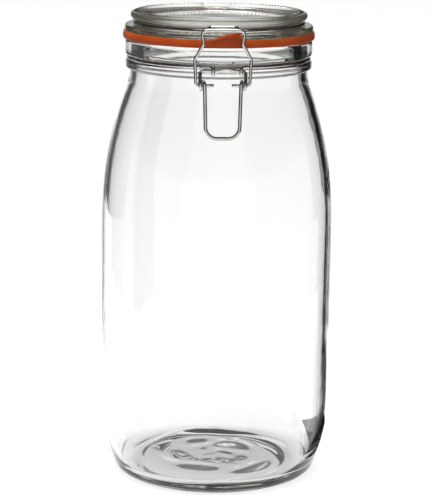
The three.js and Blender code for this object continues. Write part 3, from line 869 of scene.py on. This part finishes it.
def wire_mesh(name, corners, radius, closed=False):
    """A round wire, or a closed loop of it; its UV map runs along it, in metres, and round it."""
    sections = wire_sections(bent(corners), radius, closed)
    side = sections[0][1].orthogonal().normalized()
    vertices, lengths, travelled = [], [], 0.0
    for i, (place, along, size) in enumerate(sections):
        side = (side - along * side.dot(along)).normalized()
        across = along.cross(side)
        travelled += (place - sections[max(i - 1, 0)][0]).length
        lengths.append(travelled)
        for k in range(WIRE_SIDES):
            angle = TAU * k / WIRE_SIDES
            vertices.append(place + size * (side * math.cos(angle) + across * math.sin(angle)))
    lengths.append(travelled + (sections[0][0] - sections[-1][0]).length)
    faces, coordinates = [], []
    for i in range(len(sections) - (0 if closed else 1)):
        here, there = i * WIRE_SIDES, (i + 1) % len(sections) * WIRE_SIDES
        for k in range(WIRE_SIDES):
            after = (k + 1) % WIRE_SIDES
            faces.append((here + k, here + after, there + after, there + k))
            near, far = k / WIRE_SIDES, (k + 1) / WIRE_SIDES
            start, end = lengths[i], lengths[i + 1]
            coordinates += [(start, near), (start, far), (end, far), (end, near)]
    if not closed:
        tail = (len(sections) - 1) * WIRE_SIDES
        faces += [tuple(reversed(range(WIRE_SIDES))), tuple(range(tail, tail + WIRE_SIDES))]
        coordinates += [(0.0, k / WIRE_SIDES) for k in reversed(range(WIRE_SIDES))]
        coordinates += [(travelled, k / WIRE_SIDES) for k in range(WIRE_SIDES)]
    mesh = bpy.data.meshes.new(name)
    mesh.from_pydata(vertices, [], faces)
    layer = mesh.uv_layers.new(name="along_wire")
    for spot, coordinate in zip(layer.data, coordinates):
        spot.uv = coordinate
    mesh.shade_smooth()
    return mesh


def neck_hook(x):
    """A hook over the lever's top bar, from its tip in front of the bar to the neck's groove."""
    over = LEVER_PIVOT.z + HOOK_RADIUS
    front = LEVER_PIVOT.y - HOOK_RADIUS
    return [
        corner(x, front, HOOK_TIP_HEIGHT),
        corner(x, front, over, HOOK_RADIUS),
        corner(x, HOOK_BACK, over, NECK_HOOK_BEND),
        corner(x, -math.sqrt(NECK_WIRE_RADIUS ** 2 - x ** 2), NECK_WIRE_HEIGHT, NECK_HOOK_BEND),
    ]


def neck_wire_corners():
    """Both hooks, the ring in the neck's groove, and the hinge bar that stands off behind it."""
    back_angle = math.pi - math.asin(HINGE_HALF_WIDTH / NECK_WIRE_RADIUS)
    back_of_ring = -NECK_WIRE_RADIUS * math.cos(back_angle)
    bracket = [
        corner(HINGE_HALF_WIDTH, back_of_ring, NECK_WIRE_HEIGHT, HINGE_BEND),
        corner(HINGE_HALF_WIDTH, HINGE_BACK, NECK_WIRE_HEIGHT, HINGE_BEND),
        corner(HINGE_HALF_WIDTH, HINGE_BACK, HINGE_HEIGHT, HINGE_BEND),
    ]

    def side(x):
        front_angle = math.asin(x / NECK_WIRE_RADIUS)
        ring = ring_corners(NECK_WIRE_RADIUS, NECK_WIRE_HEIGHT, front_angle, back_angle)
        return neck_hook(x) + ring + bracket

    return side(HOOK_RIGHT) + mirrored(side(-HOOK_LEFT))


def lid_wire_corners():
    """An eye round the hinge bar, over the flange to the groove, round the lid, and out to the
    catch."""
    half = []
    eye_steps = round(HINGE_EYE_TURN / BEND_STEP)
    for step in range(eye_steps):
        angle = -HINGE_EYE_TURN * (1 - step / eye_steps)
        y = HINGE_BACK + HOOK_RADIUS * math.cos(angle)
        z = HINGE_HEIGHT + HOOK_RADIUS * math.sin(angle)
        half.append(corner(HINGE_EYE_OFFSET, y, z))
    back_angle = math.pi - math.asin(HINGE_EYE_OFFSET / LID_WIRE_RADIUS)
    front_angle = math.asin(CATCH_HALF_WIDTH / LID_WIRE_RADIUS)
    back_of_ring = -LID_WIRE_RADIUS * math.cos(back_angle)
    front_of_ring = -LID_WIRE_RADIUS * math.cos(front_angle)
    half += [
        corner(HINGE_EYE_OFFSET, HINGE_BACK + HOOK_RADIUS, HINGE_HEIGHT),
        corner(HINGE_EYE_OFFSET, HINGE_BACK + HOOK_RADIUS, LID_WIRE_HEIGHT, HOOK_RADIUS),
        corner(HINGE_EYE_OFFSET, back_of_ring, LID_WIRE_HEIGHT, LID_WIRE_BEND),
        *ring_corners(LID_WIRE_RADIUS, LID_WIRE_HEIGHT, back_angle, front_angle),
        corner(CATCH_HALF_WIDTH, front_of_ring, LID_WIRE_HEIGHT, LID_WIRE_BEND),
        corner(CATCH_HALF_WIDTH, CATCH_FRONT, CATCH_HEIGHT, CATCH_BEND),
    ]
    return half + mirrored(half)


def lever_side():
    """From the finger bar's corner, once round the bail's stub, and up to the top bar."""
    to_pivot = LEVER_PIVOT - EYE
    lean = math.atan2(to_pivot.y, to_pivot.z)
    top_angle = math.pi / 2 - (math.acos(EYE_RADIUS / to_pivot.length) - lean)
    lower_lean = math.atan2(EYE.y - EYE_RADIUS - LEVER_BOTTOM.y, EYE.z - LEVER_BOTTOM.z)
    turn_start = TAU - lower_lean
    turn_length = turn_start + top_angle
    steps = round(turn_length / BEND_STEP)
    side = [corner(LEVER_BOTTOM_HALF_WIDTH, LEVER_BOTTOM.y, LEVER_BOTTOM.z, LEVER_BOTTOM_BEND)]
    for step in range(steps + 1):
        share = step / steps
        angle = turn_start - turn_length * share
        x = LEVER_TOP_HALF_WIDTH - EYE_PITCH * turn_length * (1 - share) / TAU
        y, z = EYE.y - EYE_RADIUS * math.cos(angle), EYE.z - EYE_RADIUS * math.sin(angle)
        side.append(corner(x, y, z))
    side.append(corner(LEVER_TOP_HALF_WIDTH, LEVER_PIVOT.y, LEVER_PIVOT.z, LEVER_TOP_BEND))
    return side


def lever_corners():
    """The whole lever, with its top bar arched a little between the two neck hooks."""
    middle = (HOOK_LEFT + HOOK_RIGHT) / 2
    half_arch = (HOOK_RIGHT - HOOK_LEFT) / 2 - LEVER_ARCH_MARGIN
    arch = []
    for step in range(2 * LEVER_ARCH_HALF_STEPS + 1):
        share = 1 - step / LEVER_ARCH_HALF_STEPS
        rise = LEVER_ARCH * math.cos(share * math.pi / 2) ** 2
        arch.append(corner(middle + share * half_arch, LEVER_PIVOT.y, LEVER_PIVOT.z + rise))
    side = lever_side()
    return side + arch + mirrored(side)


def bail_corners():
    """From a stub in the lever's eye, out and up round the waist, and over to the other stub."""
    side = [
        corner(BAIL_STUB_END, EYE.y, EYE.z),
        corner(BAIL_FOOT_HALF_WIDTH, EYE.y, EYE.z, BAIL_FOOT_BEND),
        (BAIL_FLARE, BAIL_BEND),
        (BAIL_WAIST, BAIL_BEND),
        (BAIL_TOP, BAIL_TOP_BEND),
    ]
    return side + mirrored(side)


# ---- The assembly -------------------------------------------------------------------------------

def place_piece(name, mesh, material, body, node):
    mesh.materials.append(material)
    piece = link_mesh(name, mesh)
    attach(piece, body)
    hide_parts(node)


def make_canister():
    jar_glass = glass_material("jar_glass", clear=(1.0, 1.0, 1.0), cloudy=(0.98, 0.985, 0.975),
                               tint=(0.765, 0.775, 0.745), density=24.0)
    lid_glass = glass_material("lid_glass", clear=(0.99, 1.0, 0.98), cloudy=(0.96, 0.965, 0.95),
                               tint=(0.75, 0.745, 0.62), density=20.0, crested=True)
    place_piece("glass_jar", jar_mesh(), jar_glass, "jar", "jar_body")
    place_piece("glass_lid", lid_mesh(), lid_glass, "lid", "lid")
    place_piece("rubber_seal", seal_mesh(), rubber_material(), "lid", "seal")
    steel = steel_material("wire_steel")
    wires = [
        ("bent_neck_wire", neck_wire_corners(), WIRE_RADIUS, "jar", "neck_wire"),
        ("bent_lid_wire", lid_wire_corners(), WIRE_RADIUS, "lid", "lid_wire"),
        ("bent_lever", lever_corners(), WIRE_RADIUS, "lever", "lever"),
        ("bent_bail", bail_corners(), BAIL_WIRE_RADIUS, "bail", "bail"),
    ]
    for name, corners, radius, body, node in wires:
        mesh = wire_mesh(name, corners, radius, closed=(node == "lever"))
        place_piece(name, mesh, steel, body, node)


make_camera()
make_world()
make_floor(floor_material())
make_cards()
make_softbox("top_softbox", place=(-0.2, -0.25, 1.3), size=(0.9, 0.9), power=30.0)
make_softbox("back_softbox", place=(-0.1, 0.35, 1.3), size=(0.5, 0.4), power=8.0, reflected=True)
make_canister()

bpy.context.scene.view_settings.view_transform = "Standard"
bpy.context.scene.cycles.max_bounces = 32
bpy.context.scene.cycles.transmission_bounces = 32
bpy.context.scene.cycles.glossy_bounces = 12
